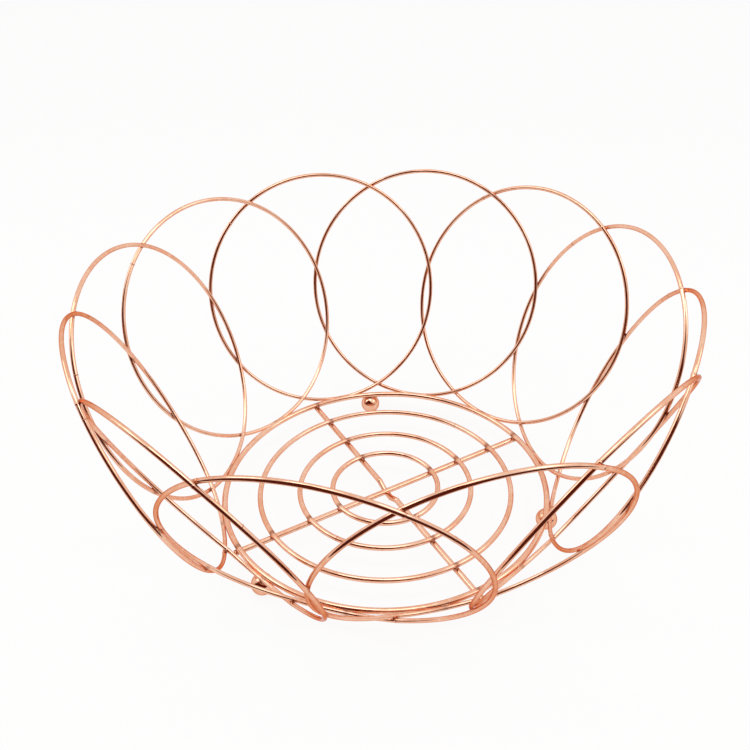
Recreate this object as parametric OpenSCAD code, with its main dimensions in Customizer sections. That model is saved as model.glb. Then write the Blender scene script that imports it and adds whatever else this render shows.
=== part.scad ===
// Wire produce basket: a bowl of overlapping welded wire hoops on a ringed base with three ball feet.
// Every piece but the ball feet is one formed steel wire, and every joint is a resistance weld.
// Origin: the centre of the basket, on the surface that it stands on. +Z is up.

/* [Bowl] */
// Mean diameter of one hoop, wire centre to wire centre
hoop_dia = 134; // [100:1:170]
// Thickness of the hoop wire
hoop_wire = 2.1; // [1.2:0.1:3]
// Lean of the hoops, measured up from the horizontal
hoop_tilt = 66.7; // [50:0.1:80]
// Where a hoop leans on the base ring, measured down from the horizontal
hoop_seat_angle = 16; // [0:1:60]

/* [Base rings] */
// Mean diameter of the outer base ring
base_ring_dia = 170; // [130:1:200]
// Thickness of the outer base ring's wire
base_ring_wire = 3; // [2.4:0.1:5]
// Mean diameter of the largest inner ring
ring_large_dia = 133; // [100:1:150]
// Mean diameter of the middle inner ring
ring_medium_dia = 91; // [64:1:99]
// Mean diameter of the smallest inner ring
ring_small_dia = 56; // [40:1:60]
// Thickness of the wire of the inner rings
ring_wire = 2.7; // [1.6:0.1:4]

/* [Cross rods] */
// Thickness of the two rods that carry the rings
rod_wire = 2.9; // [1.6:0.1:4]
// Direction of the upper rod, turned from the +X axis
upper_rod_turn = 42.5; // [0:0.5:89]
// Direction of the lower rod
lower_rod_turn = 131.5; // [90:0.5:179]
// Offset of the rods' crossing from the centre, along X
rod_cross_x = 1.5; // [-8:0.5:8]
// Offset of the rods' crossing from the centre, along Y
rod_cross_y = 0; // [-8:0.5:8]
// How far each rod runs past the base ring's middle
rod_overrun = 2; // [0.5:0.5:4]
// Half length of the flat at the bottom of the lower rod's dip
dip_half_flat = 3; // [1:0.5:6]
// Length of the slope on each side of that flat, measured along the rod
dip_slope_run = 6; // [4:0.5:14]

/* [Feet] */
// Diameter of the ball feet
foot_ball = 11; // [6:0.5:16]
// Direction of the rear foot, turned from the +X axis
foot_rear_turn = 108; // [95:1:115]
// Direction of the left foot
foot_left_turn = 238; // [228:1:245]
// Direction of the right foot
foot_right_turn = 359; // [350:1:370]

/* [Welds] */
// How far two wires sink into one another where they are welded
weld_sink = 0.2; // [0.1:0.05:0.4]
// How far a weld bead stands out of the hoop's wire
bead_rise = 0.12; // [0.1:0.01:0.3]
// How far a pressed bend stands out of the rod's wire
bend_rise = 0.1; // [0.08:0.01:0.2]

/* [Hidden] */
$fn = 96;

copper = [0.86, 0.55, 0.42];
copper_dark = [0.78, 0.47, 0.35];

// The hoops overlap their two neighbours on each side, so their number and pitch belong together.
hoop_count = 12;
hoop_pitch = 360 / hoop_count;

// Distances between wire and ball centres where two pieces are welded, seen along the base ring:
// hoop to ring, foot to ring and foot to hoop
seat_reach = (base_ring_wire + hoop_wire) / 2 - weld_sink;
foot_reach = (foot_ball + base_ring_wire) / 2 - weld_sink;
foot_hoop_reach = (foot_ball + hoop_wire) / 2 - weld_sink;

// A foot nestles in the corner between the base ring and the bottom of a hoop. Its direction from
// the ring's wire is measured down from the horizontal, like the hoop's own seat.
corner_cos = (seat_reach * seat_reach + foot_reach * foot_reach - foot_hoop_reach * foot_hoop_reach)
  / (2 * seat_reach * foot_reach);
foot_seat_angle = hoop_seat_angle + acos(corner_cos);

// Heights, from the feet up
foot_z = foot_ball / 2;
base_z = foot_z + foot_reach * sin(foot_seat_angle);
inner_z = base_z - (base_ring_wire - ring_wire) / 2;
rod_z = base_z - (base_ring_wire + rod_wire) / 2 + weld_sink;
dip_depth = rod_wire - weld_sink;
foot_circle_r = base_ring_dia / 2 + foot_reach * cos(foot_seat_angle);

// A hoop's centre, found from its seat on the base ring
hoop_r = hoop_dia / 2;
hoop_centre_x = base_ring_dia / 2 + seat_reach * cos(hoop_seat_angle) + hoop_r * cos(hoop_tilt);
hoop_centre_z = base_z - seat_reach * sin(hoop_seat_angle) + hoop_r * sin(hoop_tilt);

// How far round a hoop, from its top, its two sides reach the upright plane that lies half a pitch
// away. Its nearest neighbours cross it there: once near the top and once near the bottom.
half_pitch_slope = tan(hoop_pitch / 2);
cross_shift = atan(half_pitch_slope * cos(hoop_tilt));
cross_swing = asin(half_pitch_slope * hoop_centre_x / hoop_r * cos(cross_shift));
top_cross = cross_shift + cross_swing;
bottom_cross = cross_swing - cross_shift;

// Between these crossings each side of a hoop runs in a layer of its own: one side a little
// outside the hoop's middle plane and the other a little inside it, so that the hoop passes over
// one neighbour and under the next. layer_spread is the share of the two wires' offsets that
// counts towards the distance between them, because the planes of crossing hoops aren't parallel.
layer_spread = 0.885;
layer_offset = (hoop_wire - weld_sink) / (2 * layer_spread);
bead_dia = hoop_wire + 2 * bead_rise;
// Wires end this far short of the middle of the bead that joins them.
seam_gap = 0.2;

// The arc of one wire round Z: centre radius r, thickness t, from angle from to angle to.
module wire_arc(r, t, from, to) {
  rotate([0, 0, from])
    rotate_extrude(angle = to - from)
      translate([r, 0]) circle(d = t);
}

module wire_ring(dia, t, z) {
  translate([0, 0, z])
    rotate_extrude() translate([dia / 2, 0]) circle(d = t);
}

// The outer side of a hoop, with the weld beads at its two ends. In a hoop's own frame its top is
// towards +X and its outside towards -Z.
module hoop_side() {
  seam = asin(seam_gap / hoop_r);
  translate([0, 0, -layer_offset]) {
    wire_arc(hoop_r, hoop_wire, top_cross + seam, 180 - bottom_cross - seam);
    for (end = [top_cross, 180 - bottom_cross])
      rotate([0, 0, end]) translate([hoop_r, 0, 0]) rotate([90, 0, 0]) sphere(d = bead_dia);
  }
}

// The arc that carries the wire across from the outer layer to the inner one, centred on the
// direction middle and reaching half_sweep to each side.
module layer_change(middle, half_sweep) {
  seam = asin(seam_gap / hoop_r);
  twist = asin(layer_offset / (hoop_r * sin(half_sweep)));
  rotate([-twist, 0, 0])
    wire_arc(hoop_r, hoop_wire, middle - half_sweep + seam, middle + half_sweep - seam);
}

// Hoop number index, leaning outwards, seated on the outside of the base ring.
module hoop(index) {
  color(copper)
    rotate([0, 0, index * hoop_pitch])
      translate([hoop_centre_x, 0, hoop_centre_z])
        rotate([0, -hoop_tilt, 0]) {
          hoop_side();
          rotate([180, 0, 0]) hoop_side();
          layer_change(0, top_cross);
          layer_change(180, bottom_cross);
        }
}

// Reach from the rods' crossing to the base ring along the direction turn.
function rod_reach(turn) =
  let (
    shift = rod_cross_x * cos(turn) + rod_cross_y * sin(turn),
    end_r = base_ring_dia / 2 + rod_overrun
  )
  sqrt(shift * shift - rod_cross_x * rod_cross_x - rod_cross_y * rod_cross_y + end_r * end_r) - shift;

module base_ring() { color(copper) wire_ring(base_ring_dia, base_ring_wire, base_z); }

module ring_large() { color(copper) wire_ring(ring_large_dia, ring_wire, inner_z); }

module ring_medium() { color(copper) wire_ring(ring_medium_dia, ring_wire, inner_z); }

module ring_small() { color(copper) wire_ring(ring_small_dia, ring_wire, inner_z); }

// A wire along points of the XZ plane: [x, z] each. A pressed knuckle joins two stretches, and
// each stretch ends a seam gap short of it.
module bent_wire(points, t) {
  for (i = [1 : len(points) - 1]) {
    start = points[i - 1];
    step = points[i] - start;
    first = i == 1 ? 0 : seam_gap;
    last = i == len(points) - 1 ? 0 : seam_gap;
    translate([start.x, 0, start.y])
      rotate([0, atan2(step.x, step.y), 0])
        translate([0, 0, first]) cylinder(d = t, h = norm(step) - first - last);
  }
  if (len(points) > 2)
    for (i = [1 : len(points) - 2])
      translate([points[i].x, 0, points[i].y])
        rotate([0, 90, 0]) sphere(d = t + 2 * bend_rise);
}

// The straight rod, welded under all four rings.
module upper_cross_rod() {
  color(copper_dark)
    translate([rod_cross_x, rod_cross_y, rod_z])
      rotate([0, 0, upper_rod_turn])
        bent_wire([[-rod_reach(upper_rod_turn + 180), 0], [rod_reach(upper_rod_turn), 0]], rod_wire);
}

// The rod across it, which dips under it where they cross.
module lower_cross_rod() {
  dip_end = dip_half_flat + dip_slope_run;
  color(copper_dark)
    translate([rod_cross_x, rod_cross_y, rod_z])
      rotate([0, 0, lower_rod_turn])
        bent_wire([
          [-rod_reach(lower_rod_turn + 180), 0], [-dip_end, 0], [-dip_half_flat, -dip_depth],
          [dip_half_flat, -dip_depth], [dip_end, 0], [rod_reach(lower_rod_turn), 0]
        ], rod_wire);
}

// A steel ball welded under the base ring, in the direction turn from the centre.
module foot(turn) {
  color(copper)
    rotate([0, 0, turn]) translate([foot_circle_r, 0, foot_z]) sphere(d = foot_ball);
}

base_ring();
ring_large();
ring_medium();
ring_small();
upper_cross_rod();
lower_cross_rod();
foot(foot_rear_turn);  // foot_rear
foot(foot_left_turn);  // foot_left
foot(foot_right_turn);  // foot_right
hoop(0);  // hoop_01
hoop(1);  // hoop_02
hoop(2);  // hoop_03
hoop(3);  // hoop_04
hoop(4);  // hoop_05
hoop(5);  // hoop_06
hoop(6);  // hoop_07
hoop(7);  // hoop_08
hoop(8);  // hoop_09
hoop(9);  // hoop_10
hoop(10);  // hoop_11
hoop(11);  // hoop_12
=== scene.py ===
"""Wire produce basket: weld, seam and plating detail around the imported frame."""

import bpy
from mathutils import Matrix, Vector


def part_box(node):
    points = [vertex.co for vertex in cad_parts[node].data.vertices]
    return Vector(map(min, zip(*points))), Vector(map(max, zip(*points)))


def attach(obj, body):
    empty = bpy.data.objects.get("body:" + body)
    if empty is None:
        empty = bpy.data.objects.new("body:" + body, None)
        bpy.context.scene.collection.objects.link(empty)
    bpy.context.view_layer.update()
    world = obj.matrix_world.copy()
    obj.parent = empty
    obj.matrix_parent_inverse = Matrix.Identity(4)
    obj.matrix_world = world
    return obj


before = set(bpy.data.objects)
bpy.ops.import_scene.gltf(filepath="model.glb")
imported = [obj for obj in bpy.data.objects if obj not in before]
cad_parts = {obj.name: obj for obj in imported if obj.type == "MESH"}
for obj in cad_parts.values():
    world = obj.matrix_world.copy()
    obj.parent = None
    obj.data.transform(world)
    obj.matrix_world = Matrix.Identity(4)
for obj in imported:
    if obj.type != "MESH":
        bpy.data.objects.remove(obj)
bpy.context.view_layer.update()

import math

import bmesh
import bpy
from mathutils import Matrix, Vector
from mathutils.geometry import intersect_line_line

bl_info = {
    "name": "Wire produce basket",
    "version": (1, 0, 0),
    "blender": (4, 5, 0),
    "location": "3D View > Sidebar > Basket",
    "description": "Weld beads, seams and copper plating for a welded wire basket",
    "category": "Object",
}

MM = 0.001
HOOPS = sorted(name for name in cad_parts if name.startswith("hoop_"))
RINGS = ["base_ring", "ring_large", "ring_medium", "ring_small"]
RODS = ["upper_cross_rod", "lower_cross_rod"]
FEET = sorted(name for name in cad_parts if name.startswith("foot_"))
PITCH = 2 * math.pi / len(HOOPS)
# A hoop crosses the hoops that stand this many places on.
NEIGHBOURS = (1, 2)

# Weld beads of one kind are copies of a few models, each roughened from its own seed.
HOOP_BEAD_SEEDS = (3, 8, 14)
SEAT_BEAD_SEEDS = (21, 34)
ROD_BEAD_SEEDS = (5, 12)
FOOT_BEAD_SEED = 27
HOOP_SEAM_SEEDS = (2, 9)
RING_SEAM_SEED = 6
# Longest that half a bead may be, in wire radii
LONGEST_BEAD = 2.6

# Where each ring's wire is closed, in degrees round from +X, and how far the hoops' seams wander
RING_SEAM_TURNS = (205, 64, 250, 318)
SEAM_WANDER = math.radians(10)
SEAM_WANDER_STEP = 2.4

# A cropped rod end: the length of its cap, then how far each step goes in and where it shifts
CAP_LENGTH = 0.5 * MM
CAP_STEPS = (
    (0.22 * MM, (0, 0, 0.12 * MM)),
    (0.40 * MM, (0.10 * MM, 0, 0.05 * MM)),
    (0.35 * MM, (0, 0, 0)),
)
CAP_ROUNDING = 0.06 * MM
# Points of a rod's mesh that lie this near its far end belong to the end's rim.
TIP_DEPTH = 0.5 * MM

# Patterns of the plating: how many of their features lie in a metre
CLOUD_SCALE, MOTTLE_SCALE, GRAIN_SCALE = 55, 420, 2600
PIT_SCALE, RUB_SCALE, CRUST_SCALE = 620, 190, 1300
RELIEF_STRENGTH = 0.6
# A pitch, in radians, at which stain spots run together into a ring
RING_OF_SPOTS = 0.0001

# Sides of the floor in metres, and each soft light's name, width, height and place as the viewer sees it
FLOOR_SIZE = 8
SOFT_LIGHTS = (
    ("top", 0.70, 0.45, (-0.05, -0.12, 1.20)),
    ("left", 0.60, 0.50, (-0.85, 0.08, 0.95)),
    ("right", 0.60, 0.50, (0.85, -0.20, 0.90)),
)
LIGHT_AIM = (0, 0, 0.05)
# The dark side of the room fades out between these shares of its half width.
GLOOM_EDGE = (0.82, 1.14)


# ---------------------------------------------------------------- sizes read from the frame


def ring_size(node):
    """Centre-line radius, height and wire radius of a ring that lies flat about Z."""
    low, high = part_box(node)
    wire = (high.z - low.z) / 2
    return high.x - wire, (high.z + low.z) / 2, wire


class HoopShape:
    """The mean circle of the first hoop, which leans outwards over +X; the others are turned round Z."""

    def __init__(self, wire):
        low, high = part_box(HOOPS[0])
        self.wire = wire
        self.radius = high.y - wire
        self.centre = Vector(((low.x + high.x) / 2, 0, (low.z + high.z) / 2))
        lean = math.asin(((high.z - low.z) / 2 - wire) / self.radius)
        self.up = Vector((math.cos(lean), 0, math.sin(lean)))
        self.side = Vector((0, 1, 0))
        self.outside = Vector((math.sin(lean), 0, -math.cos(lean)))

    def crossing_angles(self, step):
        """How far round from its top the hoop meets the one step places on: near the top, then lower."""
        slope = math.tan(step * PITCH / 2)
        shift = math.atan(slope * self.up.x)
        swing = math.asin(slope * self.centre.x / self.radius * math.cos(shift))
        return shift + swing, math.pi + shift - swing

    def point(self, angle, offset=0.0):
        around = self.up * math.cos(angle) + self.side * math.sin(angle)
        return self.centre + around * self.radius + self.outside * offset

    def tangent(self, angle):
        return self.side * math.cos(angle) - self.up * math.sin(angle)


def turned(vector, places):
    """A point or direction of the first hoop, carried round to the hoop that stands that many places on."""
    return Matrix.Rotation(places * PITCH, 3, "Z") @ vector


def rod_line(node):
    """Start and direction of a cross rod's centre line, seen from above, with its two ends."""
    corners = [Vector((v.co.x, v.co.y, 0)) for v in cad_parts[node].data.vertices]
    middle = sum(corners, Vector()) / len(corners)
    far = max(corners, key=lambda c: (c - middle).length)
    along = (far - middle).normalized()
    ends = []
    for sign in (-1, 1):
        reach = max(sign * c.dot(along) for c in corners)
        tip = [c for c in corners if reach - sign * c.dot(along) < TIP_DEPTH]
        ends.append(sum(tip, Vector()) / len(tip))
    return ends[0], (ends[1] - ends[0]).normalized(), ends


def line_meets_circle(start, along, radius):
    """The two points where a line seen from above crosses a circle about Z."""
    middle = -start.dot(along)
    half = math.sqrt(middle ** 2 - start.length_squared + radius ** 2)
    return [start + along * (middle - half), start + along * (middle + half)]


# ---------------------------------------------------------------- settings


def colour(name, description, default):
    return bpy.props.FloatVectorProperty(
        name=name, description=description, subtype="COLOR", size=3, min=0, max=1, default=default)


def length(name, description, default):
    return bpy.props.FloatProperty(
        name=name, description=description, subtype="DISTANCE", unit="LENGTH", min=0, default=default)


def share(name, description, default):
    return bpy.props.FloatProperty(
        name=name, description=description, subtype="FACTOR", min=0, max=1, default=default)


def angle(name, description, default):
    return bpy.props.FloatProperty(
        name=name, description=description, subtype="ANGLE", unit="ROTATION", default=default)


def amount(name, description, default):
    return bpy.props.FloatProperty(name=name, description=description, min=0, default=default)


class BasketWelds(bpy.types.PropertyGroup):
    hoop_wire: length("Hoop wire", "Thickness of the hoop wire", 2.1 * MM)
    rod_wire: length("Rod wire", "Thickness of the cross rods", 2.9 * MM)
    sink: length("Weld sink", "How far two wires sink into one another at a weld", 0.2 * MM)
    squeeze: share("Squeeze", "How far a weld spreads out of the corners between two wires", 0.66)
    bead: length("Bead height", "Half the thickness of a weld bead between two wires", 0.52 * MM)
    seat_length: length("Seat weld", "Length of the weld under each hoop", 6.0 * MM)
    seam_angle: angle("Seam angle", "Where a hoop's wire is closed, from its top", math.radians(48))
    seam_rise: length("Seam rise", "How far a closing weld stands out of its wire", 0.13 * MM)
    roughness: length("Bead roughness", "How uneven a weld bead is", 0.07 * MM)


class BasketFinish(bpy.types.PropertyGroup):
    plate: colour("Plating", "Rose copper plating", (0.890, 0.535, 0.375))
    pale: colour("Thin plating", "Plating where it is thin and bright", (0.945, 0.655, 0.500))
    deep: colour("Thick plating", "Plating where it is thick and red", (0.820, 0.425, 0.270))
    scorch: colour("Scorch", "Heat stain beside a weld", (0.260, 0.062, 0.024))
    polish: share("Polish", "Roughness of the plated wire", 0.05)
    ball_polish: share("Ball polish", "Roughness of the plated balls", 0.04)
    bead_polish: share("Bead polish", "Roughness of the weld beads", 0.27)
    lacquer: share("Lacquer", "Strength of the clear lacquer over the plating", 0.12)
    lacquer_polish: share("Lacquer polish", "Roughness of the lacquer", 0.04)
    rim: colour("Rim", "Tint of the plating where it is seen edge on", (0.72, 0.28, 0.16))
    stain: length("Stain width", "How far the heat stain runs from a weld", 2.4 * MM)


class BasketStage(bpy.types.PropertyGroup):
    floor: colour("Floor", "Colour of the floor", (0.92, 0.92, 0.92))
    glow: colour("Floor glow", "Colour in which the floor shows", (1.0, 0.996, 0.995))
    show: share("Floor show", "Share of the floor's look that shadows don't reach", 0.89)
    front: length("Floor front", "How far the floor reaches from the middle to the viewer", 210 * MM)
    room: amount("Room light", "Strength of the light from all around", 0.74)
    gloom: colour("Gloom", "What polished metal shows of the dark side of the room", (0.095, 0.018, 0.010))
    gloom_turn: angle("Gloom direction", "Middle of the dark side, turned from the viewer", math.radians(-8))
    gloom_width: angle("Gloom width", "Half width of the dark side at the horizon", math.radians(82))
    gloom_top: angle("Gloom top", "Height at which the dark side closes", math.radians(88))
    gloom_lean: bpy.props.FloatProperty(
        name="Gloom lean", description="How far the dark side leans to the right as it rises", default=-0.36)
    top_light: amount("Top light", "Brightness of the soft light overhead", 2.2)
    left_light: amount("Left light", "Brightness of the soft light on the left", 1.7)
    right_light: amount("Right light", "Brightness of the soft light on the right", 1.7)
    view_turn: angle("View turn", "Direction that the basket is seen from", math.radians(13.15))
    view_height: angle("View height", "Height that the basket is seen from", 0.5945)
    view_roll: angle("View roll", "Roll of the camera", 0.0262)
    view_distance: length("View distance", "Distance from the camera to the base rings", 465.9 * MM)
    view_across: length("Camera across", "Camera's shift to the left", 5.47 * MM)
    view_up: length("Camera up", "Camera's shift upwards", 59.41 * MM)
    lens: amount("Lens", "Focal length in millimetres", 41.873)


# ---------------------------------------------------------------- modelling helpers


def deselect_all():
    if bpy.context.mode != "OBJECT":
        bpy.ops.object.mode_set(mode="OBJECT")
    bpy.ops.object.select_all(action="DESELECT")


def edit(obj):
    """Starts editing obj alone, with nothing in it selected."""
    deselect_all()
    obj.select_set(True)
    bpy.context.view_layer.objects.active = obj
    bpy.ops.object.mode_set(mode="EDIT")
    bpy.ops.mesh.select_all(action="DESELECT")


def pick_points(obj, test):
    """Selects the points of the mesh being edited that pass the test."""
    mesh = bmesh.from_edit_mesh(obj.data)
    for vert in mesh.verts:
        vert.select = bool(test(vert.co))
    mesh.select_flush_mode()
    bmesh.update_edit_mesh(obj.data)


def pick_faces(obj, test):
    """Selects the faces of the mesh being edited whose middle and normal pass the test."""
    mesh = bmesh.from_edit_mesh(obj.data)
    for face in mesh.faces:
        face.select = bool(test(face.calc_center_median(), face.normal))
    mesh.select_flush_mode()
    bmesh.update_edit_mesh(obj.data)


def apply_subdivision(obj, levels):
    deselect_all()
    obj.select_set(True)
    bpy.context.view_layer.objects.active = obj
    smooth = obj.modifiers.new("Subdivision", "SUBSURF")
    smooth.levels = levels
    smooth.render_levels = levels
    bpy.ops.object.modifier_apply(modifier=smooth.name)
    bpy.ops.object.shade_smooth()


def place_copy(model, axes, point, size):
    """A copy of model with its own mesh, stretched by size along axes and set down at point."""
    deselect_all()
    model.select_set(True)
    bpy.context.view_layer.objects.active = model
    bpy.ops.object.duplicate(linked=False)
    copy = bpy.context.view_layer.objects.active
    turn = Matrix(axes).transposed().to_4x4()
    copy.matrix_world = Matrix.Translation(point) @ turn @ Matrix.Diagonal((*size, 1))
    bpy.ops.object.transform_apply(location=True, rotation=True, scale=True)
    return copy


def copies_round(models, axes, point, size):
    """A copy for every hoop, set down one pitch apart round Z; the models take turns."""
    return [place_copy(models[place % len(models)], [turned(axis, place) for axis in axes],
                       turned(point, place), size) for place in range(len(HOOPS))]


def finish_piece(copies, models, name, material):
    """Joins the copies into one piece that rides on the basket, and clears the models away."""
    deselect_all()
    for copy in copies:
        copy.select_set(True)
    bpy.context.view_layer.objects.active = copies[0]
    bpy.ops.object.join()
    piece = bpy.context.view_layer.objects.active
    piece.name = piece.data.name = name
    bpy.ops.object.transform_apply(location=True, rotation=True, scale=True)
    for model in models:
        bpy.data.objects.remove(model)
    piece.data.materials.clear()
    piece.data.materials.append(material)
    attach(piece, "root")


def bead_model(seed, roughness):
    """One weld bead of unit size: a lens drawn out to two tongues along X, where metal fills the corners."""
    deselect_all()
    bpy.ops.mesh.primitive_uv_sphere_add(segments=14, ring_count=8, radius=1)
    bead = bpy.context.view_layer.objects.active
    edit(bead)
    pick_points(bead, lambda co: abs(co.x) > 0.6)
    bpy.ops.transform.resize(value=(1.12, 0.62, 0.8))
    pick_points(bead, lambda co: abs(co.z) > 0.75)
    bpy.ops.transform.resize(value=(1.1, 1.1, 0.9))
    bpy.ops.mesh.select_all(action="SELECT")
    bpy.ops.transform.vertex_random(offset=roughness, uniform=1.0, seed=seed)
    apply_subdivision(bead, 1)
    return bead


def bead_axes(first, second, apart):
    """Axes of a bead between two wires that run along first and second.

    They are the bisector of the wires' sharp corners, the other bisector, and the way from one wire
    to the other.
    """
    if first.dot(second) < 0:
        second = -second
    along = (first + second).normalized()
    apart = (apart - along * apart.dot(along)).normalized()
    return along, apart.cross(along), apart


def bead_size(first, second, wire, squeeze, bead):
    """How far a bead reaches along its axes: further in the sharp corners than in the blunt ones."""
    half = math.acos(min(abs(first.dot(second)), 1.0)) / 2
    reach = squeeze * wire
    return (min(reach / math.sin(half), LONGEST_BEAD * wire), reach / math.cos(half), bead)


# ---------------------------------------------------------------- node helpers


class Graph:
    """Adds nodes to one node tree and links them."""

    def __init__(self, tree):
        self.tree = tree
        self.count = 0

    def node(self, kind, **settings):
        made = self.tree.nodes.new(kind)
        made.location = (200 * (self.count // 6), -180 * (self.count % 6))
        self.count += 1
        for key, value in settings.items():
            setattr(made, key, value)
        return made

    def feed(self, socket, value):
        if isinstance(value, bpy.types.NodeSocket):
            self.tree.links.new(value, socket)
        elif isinstance(value, (tuple, list)) and len(value) == 3 and socket.type == "RGBA":
            socket.default_value = (*value, 1)
        else:
            socket.default_value = value

    def math(self, operation, *values, clamp=False):
        made = self.node("ShaderNodeMath", operation=operation, use_clamp=clamp)
        for socket, value in zip(made.inputs, values):
            self.feed(socket, value)
        return made.outputs[0]

    def mix(self, factor, first, second):
        made = self.node("ShaderNodeMix", data_type="RGBA")
        self.feed(made.inputs["Factor"], factor)
        self.feed(made.inputs["A"], first)
        self.feed(made.inputs["B"], second)
        return made.outputs["Result"]

    def ramp(self, value, low, high, to_low=0.0, to_high=1.0):
        made = self.node("ShaderNodeMapRange", interpolation_type="SMOOTHSTEP")
        for socket, given in zip(made.inputs, (value, low, high, to_low, to_high)):
            self.feed(socket, given)
        return made.outputs["Result"]

    def noise(self, place, scale, detail=2.0, rough=0.5, distortion=0.0):
        made = self.node("ShaderNodeTexNoise")
        self.feed(made.inputs["Vector"], place)
        values = {"Scale": scale, "Detail": detail, "Roughness": rough, "Distortion": distortion}
        for name, value in values.items():
            self.feed(made.inputs[name], value)
        return made.outputs["Fac"]

    def place(self):
        return self.node("ShaderNodeTexCoord").outputs["Object"]

    def group(self, tree, **values):
        made = self.node("ShaderNodeGroup", node_tree=tree)
        for name, value in values.items():
            self.feed(made.inputs[name.replace("_", " ")], value)
        return made.outputs


def new_group(name, inputs, outputs):
    """A shader group with named inputs (kind, default) and outputs (kind), its graph, and the two ends."""
    tree = bpy.data.node_groups.new(name, "ShaderNodeTree")
    for label, (kind, default) in inputs.items():
        socket = tree.interface.new_socket(name=label, in_out="INPUT", socket_type=kind)
        socket.default_value = default
    for label, kind in outputs.items():
        tree.interface.new_socket(name=label, in_out="OUTPUT", socket_type=kind)
    graph = Graph(tree)
    return tree, graph, graph.node("NodeGroupInput").outputs, graph.node("NodeGroupOutput").inputs


FLOAT, COLOR = "NodeSocketFloat", "NodeSocketColor"


def plating_group():
    """Copper plating over drawn wire: cloudy tint, fine grain, pits, rubs and the stain beside welds."""
    if "plating" in bpy.data.node_groups:
        return bpy.data.node_groups["plating"]
    tree, g, given, out = new_group(
        "plating",
        {"Plate": (COLOR, (1, 1, 1, 1)), "Pale": (COLOR, (1, 1, 1, 1)), "Deep": (COLOR, (1, 1, 1, 1)),
         "Scorch": (COLOR, (0, 0, 0, 1)), "Polish": (FLOAT, 0.1), "Stain": (FLOAT, 0.0),
         "Grain": (FLOAT, 1.0)},
        {"Colour": COLOR, "Roughness": FLOAT, "Height": FLOAT})
    place = g.place()
    cloud = g.noise(place, CLOUD_SCALE, detail=3)
    mottle = g.noise(place, MOTTLE_SCALE, detail=3, rough=0.6)
    grain = g.noise(place, GRAIN_SCALE, detail=2)
    pits = g.node("ShaderNodeTexVoronoi")
    g.feed(pits.inputs["Vector"], place)
    g.feed(pits.inputs["Scale"], PIT_SCALE)
    pit = g.ramp(pits.outputs["Distance"], 0.10, 0.20, 1.0, 0.0)
    pit = g.math("MULTIPLY", pit, g.ramp(cloud, 0.42, 0.62))
    rub = g.noise(place, RUB_SCALE, detail=4, rough=0.62, distortion=1.2)
    rub = g.ramp(g.math("ABSOLUTE", g.math("SUBTRACT", rub, 0.5)), 0.0, 0.014, 1.0, 0.0)
    tint = g.mix(g.ramp(cloud, 0.38, 0.66), given["Deep"], given["Plate"])
    tint = g.mix(g.math("MULTIPLY", g.ramp(mottle, 0.45, 0.75), 0.55), tint, given["Pale"])
    tint = g.mix(g.math("MULTIPLY", pit, 0.45), tint, given["Scorch"])
    crust = g.noise(place, CRUST_SCALE, detail=4, rough=0.65)
    stain = g.math("MULTIPLY", given["Stain"], g.ramp(crust, 0.2, 0.6, 0.55, 1.0), clamp=True)
    tint = g.mix(g.math("MULTIPLY", stain, 0.8), tint, given["Scorch"])
    g.feed(out["Colour"], tint)
    rough = g.math("ADD", given["Polish"], g.math("MULTIPLY", g.math("SUBTRACT", mottle, 0.5), 0.07))
    rough = g.math("ADD", rough, g.math("MULTIPLY", rub, 0.07))
    rough = g.math("ADD", rough, g.math("MULTIPLY", pit, 0.16))
    rough = g.math("ADD", rough, g.math("MULTIPLY", stain, 0.22), clamp=True)
    g.feed(out["Roughness"], rough)
    height = g.math("MULTIPLY", g.math("SUBTRACT", grain, 0.5), g.math("MULTIPLY", given["Grain"], 0.05))
    height = g.math("ADD", height, g.math("MULTIPLY", mottle, 0.10))
    height = g.math("SUBTRACT", height, g.math("MULTIPLY", pit, 0.30))
    height = g.math("SUBTRACT", height, g.math("MULTIPLY", rub, 0.04))
    height = g.math("ADD", height, g.math("MULTIPLY", g.math("MULTIPLY", crust, stain), 0.5))
    g.feed(out["Height"], height)
    return tree


def spot_group():
    """A stain round points that stand at one radius and height about Z, one pitch apart."""
    if "stain at spots" in bpy.data.node_groups:
        return bpy.data.node_groups["stain at spots"]
    tree, g, given, out = new_group(
        "stain at spots",
        {"Pitch": (FLOAT, 1.0), "Phase": (FLOAT, 0.0), "Radius": (FLOAT, 0.1), "Height": (FLOAT, 0.0),
         "Reach": (FLOAT, 0.003)},
        {"Stain": FLOAT})
    split = g.node("ShaderNodeSeparateXYZ")
    g.feed(split.inputs[0], g.place())
    x, y, z = split.outputs
    turn = g.math("SUBTRACT", g.math("ARCTAN2", y, x), given["Phase"])
    half = g.math("MULTIPLY", given["Pitch"], 0.5)
    turn = g.math("WRAP", turn, half, g.math("MULTIPLY", half, -1.0))
    across = g.math("MULTIPLY", turn, given["Radius"])
    out_from = g.math("SQRT", g.math("ADD", g.math("MULTIPLY", x, x), g.math("MULTIPLY", y, y)))
    out_from = g.math("SUBTRACT", out_from, given["Radius"])
    above = g.math("SUBTRACT", z, given["Height"])
    total = g.math("ADD", g.math("MULTIPLY", across, across), g.math("MULTIPLY", out_from, out_from))
    total = g.math("ADD", total, g.math("MULTIPLY", above, above))
    g.feed(out["Stain"], g.ramp(g.math("SQRT", total), 0.0, given["Reach"], 1.0, 0.0))
    return tree


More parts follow.
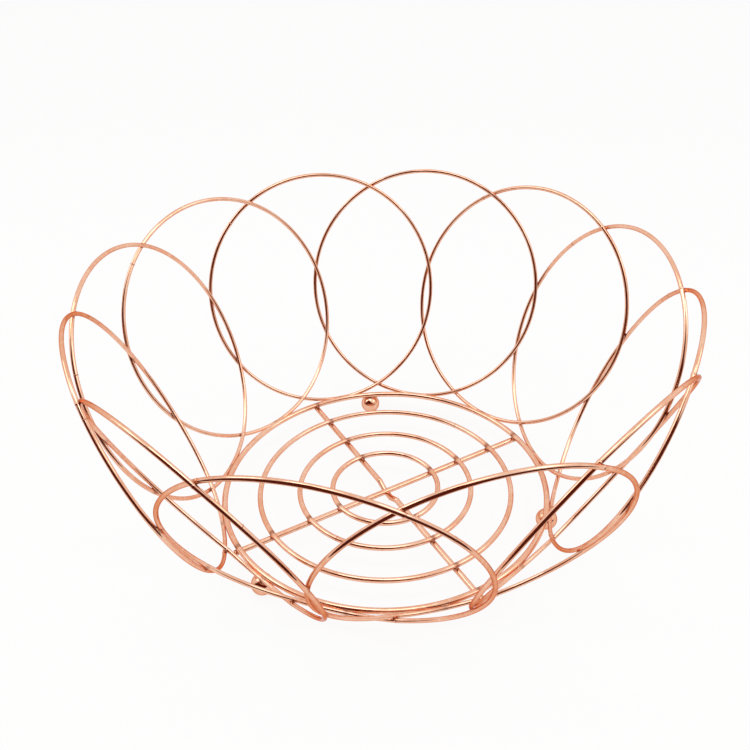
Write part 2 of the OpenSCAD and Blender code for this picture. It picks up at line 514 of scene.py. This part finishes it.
def rod_group():
    """A stain where a ring lies over a rod: near a line that is seen from above."""
    if "stain at rod" in bpy.data.node_groups:
        return bpy.data.node_groups["stain at rod"]
    tree, g, given, out = new_group(
        "stain at rod",
        {"Rod X": (FLOAT, 0.0), "Rod Y": (FLOAT, 0.0), "Turn": (FLOAT, 0.0), "Reach": (FLOAT, 0.003)},
        {"Stain": FLOAT})
    split = g.node("ShaderNodeSeparateXYZ")
    g.feed(split.inputs[0], g.place())
    x = g.math("SUBTRACT", split.outputs[0], given["Rod X"])
    y = g.math("SUBTRACT", split.outputs[1], given["Rod Y"])
    off = g.math("SUBTRACT", g.math("MULTIPLY", y, g.math("COSINE", given["Turn"])),
                 g.math("MULTIPLY", x, g.math("SINE", given["Turn"])))
    g.feed(out["Stain"], g.ramp(g.math("ABSOLUTE", off), 0.0, given["Reach"], 1.0, 0.0))
    return tree


def plated_material(name, polish, stains, grain=1.0, bump=0.05):
    """Plated and lacquered metal. stains is a function that adds masks to the graph and returns them."""
    finish = bpy.context.scene.basket_finish
    material = bpy.data.materials.new(name)
    material.use_nodes = True
    tree = material.node_tree
    shader = tree.nodes["Principled BSDF"]
    g = Graph(tree)
    total = 0.0
    for mask in stains(g):
        total = mask if total == 0.0 else g.math("MAXIMUM", total, mask)
    plating = g.group(
        plating_group(), Plate=tuple(finish.plate), Pale=tuple(finish.pale), Deep=tuple(finish.deep),
        Scorch=tuple(finish.scorch), Polish=polish, Stain=total, Grain=grain)
    g.feed(shader.inputs["Base Color"], plating["Colour"])
    g.feed(shader.inputs["Roughness"], plating["Roughness"])
    relief = g.node("ShaderNodeBump")
    g.feed(relief.inputs["Strength"], RELIEF_STRENGTH)
    g.feed(relief.inputs["Distance"], bump * MM)
    g.feed(relief.inputs["Height"], plating["Height"])
    g.feed(shader.inputs["Normal"], relief.outputs["Normal"])
    shader.inputs["Metallic"].default_value = 1
    shader.inputs["Specular Tint"].default_value = (*finish.rim, 1)
    shader.inputs["Coat Weight"].default_value = finish.lacquer
    shader.inputs["Coat Roughness"].default_value = finish.lacquer_polish
    return material


def hoop_stains(g):
    """Stains at the crossings of the hoops and where they sit on the base ring."""
    welds = bpy.context.scene.basket_welds
    shape = HoopShape(welds.hoop_wire / 2)
    reach = bpy.context.scene.basket_finish.stain
    spots = [(step * PITCH / 2, shape.point(turn))
             for step in NEIGHBOURS for turn in shape.crossing_angles(step)]
    spots.append((0.0, shape.point(math.pi)))
    return [g.group(spot_group(), Pitch=PITCH, Phase=phase, Radius=spot.xy.length, Height=spot.z,
                    Reach=reach)["Stain"] for phase, spot in spots]


def ring_stains(g):
    """Stains where the rods pass under the rings."""
    reach = bpy.context.scene.basket_finish.stain
    masks = []
    for rod in RODS:
        start, along, _ends = rod_line(rod)
        masks.append(g.group(rod_group(), Rod_X=start.x, Rod_Y=start.y, Turn=math.atan2(along.y, along.x),
                             Reach=reach)["Stain"])
    return masks


def rod_stains(g):
    """Stains where the rings lie on the rods."""
    reach = bpy.context.scene.basket_finish.stain
    split = g.node("ShaderNodeSeparateXYZ")
    g.feed(split.inputs[0], g.place())
    out_from = g.math("SQRT", g.math("ADD", g.math("MULTIPLY", split.outputs[0], split.outputs[0]),
                                     g.math("MULTIPLY", split.outputs[1], split.outputs[1])))
    return [g.ramp(g.math("ABSOLUTE", g.math("SUBTRACT", out_from, ring_size(ring)[0])), 0.0, reach, 1.0, 0.0)
            for ring in RINGS]


def foot_stains(g):
    """Stains at the tops of the balls, where they are welded on.

    The spots stand so close together that they make a ring about Z, so one finish serves every ball.
    """
    low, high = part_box(FEET[0])
    middle = (low + high) / 2
    return [g.group(spot_group(), Pitch=RING_OF_SPOTS, Phase=0.0, Radius=middle.xy.length, Height=high.z,
                    Reach=bpy.context.scene.basket_finish.stain)["Stain"]]


def shared_material(name):
    """The finish of that name, made the first time it is asked for."""
    if name in bpy.data.materials:
        return bpy.data.materials[name]
    finish = bpy.context.scene.basket_finish
    kinds = {
        "plated hoop wire": (finish.polish, hoop_stains, 1.0, 0.05),
        "plated ring wire": (finish.polish + 0.02, ring_stains, 1.0, 0.06),
        "plated rod wire": (finish.polish + 0.04, rod_stains, 1.4, 0.07),
        "plated ball": (finish.ball_polish, foot_stains, 0.6, 0.04),
        "plated weld bead": (finish.bead_polish, lambda g: [0.55], 2.0, 0.16),
        "plated cut end": (finish.bead_polish + 0.05, lambda g: [0.3], 2.5, 0.14),
    }
    return plated_material(name, *kinds[name])


# ---------------------------------------------------------------- operators


class BASKET_OT_plating(bpy.types.Operator):
    """Give the hoops, rings, rods and balls their copper plating"""
    bl_idname = "basket.plating"
    bl_label = "Plate the basket"

    def execute(self, context):
        kinds = {"plated hoop wire": HOOPS, "plated ring wire": RINGS,
                 "plated rod wire": RODS, "plated ball": FEET}
        for kind, nodes in kinds.items():
            for node in nodes:
                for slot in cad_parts[node].material_slots:
                    slot.material = shared_material(kind)
        return {"FINISHED"}


class BASKET_OT_hoop_welds(bpy.types.Operator):
    """Weld the hoops to one another wherever two of them cross"""
    bl_idname = "basket.hoop_welds"
    bl_label = "Hoop welds"

    def execute(self, context):
        welds = context.scene.basket_welds
        shape = HoopShape(welds.hoop_wire / 2)
        models = [bead_model(seed, welds.roughness / welds.bead) for seed in HOOP_BEAD_SEEDS]
        copies = []
        for step in NEIGHBOURS:
            for turn in shape.crossing_angles(step):
                over = shape.point(turn, shape.wire)
                over_way = shape.tangent(turn)
                under = turned(shape.point(-turn, -shape.wire), step)
                under_way = turned(shape.tangent(-turn), step)
                near, far = intersect_line_line(over, over + over_way, under, under + under_way)
                axes = bead_axes(over_way, under_way, near - far)
                size = bead_size(over_way, under_way, shape.wire, welds.squeeze, welds.bead)
                copies += copies_round(models, axes, (near + far) / 2, size)
        finish_piece(copies, models, "hoop_welds", shared_material("plated weld bead"))
        return {"FINISHED"}


class BASKET_OT_seat_welds(bpy.types.Operator):
    """Weld the bottom of each hoop to the outside of the base ring"""
    bl_idname = "basket.seat_welds"
    bl_label = "Seat welds"

    def execute(self, context):
        welds = context.scene.basket_welds
        shape = HoopShape(welds.hoop_wire / 2)
        radius, height, wire = ring_size("base_ring")
        ring = Vector((radius, 0, height))
        hoop = shape.point(math.pi)
        down = (hoop - ring).normalized()
        point = ring + down * (wire - welds.sink / 2)
        along = Vector((0, 1, 0))
        axes = (along, down.cross(along), down)
        size = (welds.seat_length / 2, 1.15 * shape.wire, 1.1 * welds.bead)
        models = [bead_model(seed, welds.roughness / welds.bead) for seed in SEAT_BEAD_SEEDS]
        copies = copies_round(models, axes, point, size)
        finish_piece(copies, models, "seat_welds", shared_material("plated weld bead"))
        return {"FINISHED"}


class BASKET_OT_rod_welds(bpy.types.Operator):
    """Weld the cross rods to the four rings and to each other"""
    bl_idname = "basket.rod_welds"
    bl_label = "Rod welds"

    def execute(self, context):
        welds = context.scene.basket_welds
        models = [bead_model(seed, welds.roughness / welds.bead) for seed in ROD_BEAD_SEEDS]
        copies = []
        rod = welds.rod_wire / 2
        up = Vector((0, 0, 1))
        lines = [rod_line(name)[:2] for name in RODS]
        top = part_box("upper_cross_rod")[1].z
        for start, along in lines:
            for ring in RINGS:
                for point in line_meets_circle(start, along, ring_size(ring)[0]):
                    tangent = up.cross(point).normalized()
                    axes = bead_axes(tangent, along, up)
                    size = bead_size(tangent, along, rod, welds.squeeze, 1.2 * welds.bead)
                    copies.append(place_copy(models[len(copies) % len(models)], axes,
                                             point + up * (top - welds.sink / 2), size))
        (first, first_way), (second, second_way) = lines
        meet = intersect_line_line(first, first + first_way, second, second + second_way)[0]
        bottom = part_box("upper_cross_rod")[0].z
        copies.append(place_copy(models[0], bead_axes(first_way, second_way, up),
                                 meet + up * (bottom + welds.sink / 2),
                                 bead_size(first_way, second_way, rod, welds.squeeze, 1.2 * welds.bead)))
        finish_piece(copies, models, "rod_welds", shared_material("plated weld bead"))
        return {"FINISHED"}


class BASKET_OT_foot_welds(bpy.types.Operator):
    """Weld each ball foot to the underside of the base ring"""
    bl_idname = "basket.foot_welds"
    bl_label = "Foot welds"

    def execute(self, context):
        welds = context.scene.basket_welds
        radius, height, wire = ring_size("base_ring")
        models = [bead_model(FOOT_BEAD_SEED, welds.roughness / welds.bead)]
        copies = []
        for node in FEET:
            low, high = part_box(node)
            ball = (low + high) / 2
            outward = Vector((ball.x, ball.y, 0)).normalized()
            ring = outward * radius + Vector((0, 0, height))
            up = (ring - ball).normalized()
            tangent = up.cross(outward).normalized()
            point = ring - up * (wire - welds.sink / 2)
            copies.append(place_copy(models[0], (tangent, up.cross(tangent), up), point,
                                     (1.9 * wire, 1.2 * wire, 1.5 * welds.bead)))
        finish_piece(copies, models, "foot_welds", shared_material("plated weld bead"))
        return {"FINISHED"}


def seam_model(wire, rise, seed):
    """The ring of flash and its nib where a wire's two ends are butted. The wire runs along Z."""
    deselect_all()
    bpy.ops.mesh.primitive_torus_add(major_segments=20, minor_segments=8, major_radius=wire - rise,
                                     minor_radius=2 * rise)
    seam = bpy.context.view_layer.objects.active
    edit(seam)
    bpy.ops.mesh.select_all(action="SELECT")
    bpy.ops.transform.resize(value=(1, 1, 1.5))
    bpy.ops.transform.vertex_random(offset=0.3 * rise, uniform=1.0, seed=seed)
    bpy.ops.mesh.select_all(action="DESELECT")
    pick_faces(seam, lambda middle, normal: normal.x > 0.9 and abs(middle.z) < rise and middle.x > wire)
    bpy.ops.mesh.extrude_region_move(TRANSFORM_OT_translate={"value": (1.6 * rise, 0, 0)})
    bpy.ops.transform.resize(value=(1, 0.5, 0.5))
    bpy.ops.object.mode_set(mode="OBJECT")
    apply_subdivision(seam, 1)
    return seam


class BASKET_OT_wire_seams(bpy.types.Operator):
    """Close each hoop and ring with a butt weld"""
    bl_idname = "basket.wire_seams"
    bl_label = "Wire seams"

    def execute(self, context):
        welds = context.scene.basket_welds
        shape = HoopShape(welds.hoop_wire / 2)
        models = [seam_model(shape.wire, welds.seam_rise, seed) for seed in HOOP_SEAM_SEEDS]
        copies = []
        for place in range(len(HOOPS)):
            turn = welds.seam_angle + SEAM_WANDER * math.sin(SEAM_WANDER_STEP * place)
            along = shape.tangent(turn)
            out_way = -(shape.point(turn) - shape.centre).normalized()
            axes = (out_way, along.cross(out_way), along)
            copies.append(place_copy(models[place % len(models)], [turned(axis, place) for axis in axes],
                                     turned(shape.point(turn, shape.wire), place), (1, 1, 1)))
        finish_piece(copies, models, "hoop_seams", shared_material("plated weld bead"))
        models, copies = [], []
        for ring, turn in zip(RINGS, RING_SEAM_TURNS):
            radius, height, wire = ring_size(ring)
            model = seam_model(wire, welds.seam_rise, RING_SEAM_SEED)
            out_way = Vector((math.cos(math.radians(turn)), math.sin(math.radians(turn)), 0))
            up = Vector((0, 0, 1))
            along = up.cross(out_way)
            copies.append(place_copy(model, (-up, along.cross(-up), along),
                                     out_way * radius + up * height, (1, 1, 1)))
            models.append(model)
        finish_piece(copies, models, "ring_seams", shared_material("plated weld bead"))
        return {"FINISHED"}


class BASKET_OT_rod_ends(bpy.types.Operator):
    """Finish the cropped ends of the cross rods"""
    bl_idname = "basket.rod_ends"
    bl_label = "Rod ends"

    def execute(self, context):
        rod = context.scene.basket_welds.rod_wire / 2
        deselect_all()
        bpy.ops.mesh.primitive_cylinder_add(vertices=28, radius=rod, depth=CAP_LENGTH)
        model = bpy.context.view_layer.objects.active
        edit(model)
        pick_faces(model, lambda middle, normal: normal.z > 0.9)
        for inset, shift in CAP_STEPS:
            bpy.ops.mesh.inset(thickness=inset)
            bpy.ops.transform.translate(value=shift)
        bpy.ops.object.mode_set(mode="OBJECT")
        rounding = model.modifiers.new("Rounding", "BEVEL")
        rounding.width = CAP_ROUNDING
        rounding.segments = 2
        rounding.limit_method = "ANGLE"
        bpy.ops.object.modifier_apply(modifier=rounding.name)
        bpy.ops.object.shade_smooth_by_angle(angle=math.radians(35))
        up = Vector((0, 0, 1))
        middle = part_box("upper_cross_rod")
        height = (middle[0].z + middle[1].z) / 2
        copies = []
        for name in RODS:
            _start, along, ends = rod_line(name)
            for end, way in ((ends[0], -along), (ends[1], along)):
                copies.append(place_copy(model, (up, way.cross(up), way),
                                         Vector((end.x, end.y, height)), (1, 1, 1)))
        finish_piece(copies, [model], "rod_ends", shared_material("plated cut end"))
        return {"FINISHED"}


def soft_light(name, brightness, width, height, position):
    """A soft rectangular light that looks as bright as brightness times a white wall."""
    deselect_all()
    bpy.ops.object.light_add(type="AREA", location=position)
    lamp = bpy.context.view_layer.objects.active
    lamp.name = name
    lamp.data.shape = "RECTANGLE"
    lamp.data.size = width
    lamp.data.size_y = height
    lamp.data.energy = brightness * math.pi * width * height
    lamp.rotation_euler = (Vector(LIGHT_AIM) - position).to_track_quat("-Z", "Y").to_euler()


def seen_directly(g):
    """1 for rays from the camera and for what polished or clear surfaces show, else 0."""
    path = g.node("ShaderNodeLightPath").outputs
    total = g.math("ADD", path["Is Camera Ray"], path["Is Glossy Ray"], clamp=True)
    return g.math("ADD", total, path["Is Transmission Ray"], clamp=True)


class BASKET_OT_stage(bpy.types.Operator):
    """Set up the floor, the soft lights, the room and the camera"""
    bl_idname = "basket.stage"
    bl_label = "Stage"

    def execute(self, context):
        stage = context.scene.basket_stage
        self.floor(stage)
        self.room(stage)
        turn = Matrix.Rotation(stage.view_turn, 3, "Z")
        for name, width, height, place in SOFT_LIGHTS:
            brightness = getattr(stage, name + "_light")
            soft_light(name + " light", brightness, width, height, turn @ Vector(place))
        self.camera(stage)
        context.scene.view_settings.view_transform = "Standard"
        return {"FINISHED"}

    def floor(self, stage):
        deselect_all()
        turn = Matrix.Rotation(stage.view_turn, 3, "Z")
        middle = turn @ Vector((0, FLOOR_SIZE / 2 - stage.front, 0))
        bpy.ops.mesh.primitive_plane_add(size=FLOOR_SIZE, location=middle, rotation=(0, 0, stage.view_turn))
        floor = bpy.context.view_layer.objects.active
        floor.name = "floor"
        material = bpy.data.materials.new("pale floor")
        material.use_nodes = True
        tree = material.node_tree
        shader, end = tree.nodes["Principled BSDF"], tree.nodes["Material Output"]
        shader.inputs["Base Color"].default_value = (*stage.floor, 1)
        shader.inputs["Roughness"].default_value = 0.7
        g = Graph(tree)
        glow = g.node("ShaderNodeEmission")
        glow.inputs["Color"].default_value = (*stage.glow, 1)
        blend = g.node("ShaderNodeMixShader")
        g.feed(blend.inputs[0], g.math("MULTIPLY", seen_directly(g), stage.show))
        g.feed(blend.inputs[1], shader.outputs[0])
        g.feed(blend.inputs[2], glow.outputs[0])
        g.feed(end.inputs["Surface"], blend.outputs[0])
        floor.data.materials.append(material)

    def room(self, stage):
        """White all round, with the dark side of the room that polished metal shows behind the viewer."""
        world = bpy.data.worlds.new("room")
        world.use_nodes = True
        bpy.context.scene.world = world
        tree = world.node_tree
        g = Graph(tree)
        turn = stage.view_turn + stage.gloom_turn - math.pi / 2
        mapping = g.node("ShaderNodeMapping", vector_type="TEXTURE")
        g.feed(mapping.inputs["Vector"], g.node("ShaderNodeTexCoord").outputs["Generated"])
        mapping.inputs["Rotation"].default_value = (0, 0, turn)
        split = g.node("ShaderNodeSeparateXYZ")
        g.feed(split.inputs[0], mapping.outputs[0])
        ahead, across, up = split.outputs
        height = g.math("ARCSINE", up)
        aside = g.math("SUBTRACT", g.math("ARCTAN2", across, ahead),
                       g.math("MULTIPLY", height, stage.gloom_lean))
        left = g.math("SUBTRACT", 1.0, g.math("DIVIDE", height, stage.gloom_top))
        half = g.math("MAXIMUM", g.math("MULTIPLY", left, stage.gloom_width), 0.001)
        dark = g.ramp(g.math("DIVIDE", g.math("ABSOLUTE", aside), half), *GLOOM_EDGE, 1.0, 0.0)
        path = g.node("ShaderNodeLightPath").outputs
        dark = g.math("MULTIPLY", dark, path["Is Glossy Ray"])
        strength = g.math("ADD", g.math("MULTIPLY", seen_directly(g), 1 - stage.room), stage.room)
        background = tree.nodes["Background"]
        g.feed(background.inputs["Color"], g.mix(dark, (1.0, 1.0, 1.0), tuple(stage.gloom)))
        g.feed(background.inputs["Strength"], strength)

    def camera(self, stage):
        deselect_all()
        bpy.ops.object.camera_add()
        camera = bpy.context.view_layer.objects.active
        camera.name = "camera"
        back = Vector((0, -math.cos(stage.view_height), math.sin(stage.view_height)))
        right = Vector((1, 0, 0))
        up = back.cross(right)
        cos, sin = math.cos(-stage.view_roll), math.sin(-stage.view_roll)
        right, up = right * cos + up * sin, up * cos - right * sin
        position = back * stage.view_distance - right * stage.view_across + up * stage.view_up
        turn = Matrix.Rotation(stage.view_turn, 3, "Z")
        facing = Matrix((turn @ right, turn @ up, turn @ back)).transposed().to_4x4()
        base = Vector((0, 0, ring_size("base_ring")[1]))
        camera.matrix_world = Matrix.Translation(base + turn @ position) @ facing
        camera.data.sensor_width = 36
        camera.data.lens = stage.lens
        camera.data.clip_start = 0.01
        bpy.context.scene.camera = camera


class BASKET_PT_panel(bpy.types.Panel):
    bl_label = "Wire produce basket"
    bl_idname = "BASKET_PT_panel"
    bl_space_type = "VIEW_3D"
    bl_region_type = "UI"
    bl_category = "Basket"

    def draw(self, context):
        for operator in OPERATORS:
            self.layout.operator(operator.bl_idname)
        for group in (context.scene.basket_welds, context.scene.basket_finish, context.scene.basket_stage):
            box = self.layout.box()
            for name in group.bl_rna.properties.keys():
                if name not in ("rna_type", "name"):
                    box.prop(group, name)


OPERATORS = (BASKET_OT_plating, BASKET_OT_hoop_welds, BASKET_OT_seat_welds, BASKET_OT_rod_welds,
             BASKET_OT_foot_welds, BASKET_OT_wire_seams, BASKET_OT_rod_ends, BASKET_OT_stage)
GROUPS = {"basket_welds": BasketWelds, "basket_finish": BasketFinish, "basket_stage": BasketStage}


def register():
    for cls in (*GROUPS.values(), *OPERATORS, BASKET_PT_panel):
        bpy.utils.register_class(cls)
    for name, cls in GROUPS.items():
        setattr(bpy.types.Scene, name, bpy.props.PointerProperty(type=cls))


def unregister():
    for name in GROUPS:
        delattr(bpy.types.Scene, name)
    for cls in reversed((*GROUPS.values(), *OPERATORS, BASKET_PT_panel)):
        bpy.utils.unregister_class(cls)


def main():
    register()
    bpy.ops.basket.plating()
    bpy.ops.basket.hoop_welds()
    bpy.ops.basket.seat_welds()
    bpy.ops.basket.rod_welds()
    bpy.ops.basket.foot_welds()
    bpy.ops.basket.wire_seams()
    bpy.ops.basket.rod_ends()
    bpy.ops.basket.stage()


if __name__ == "__main__":
    main()
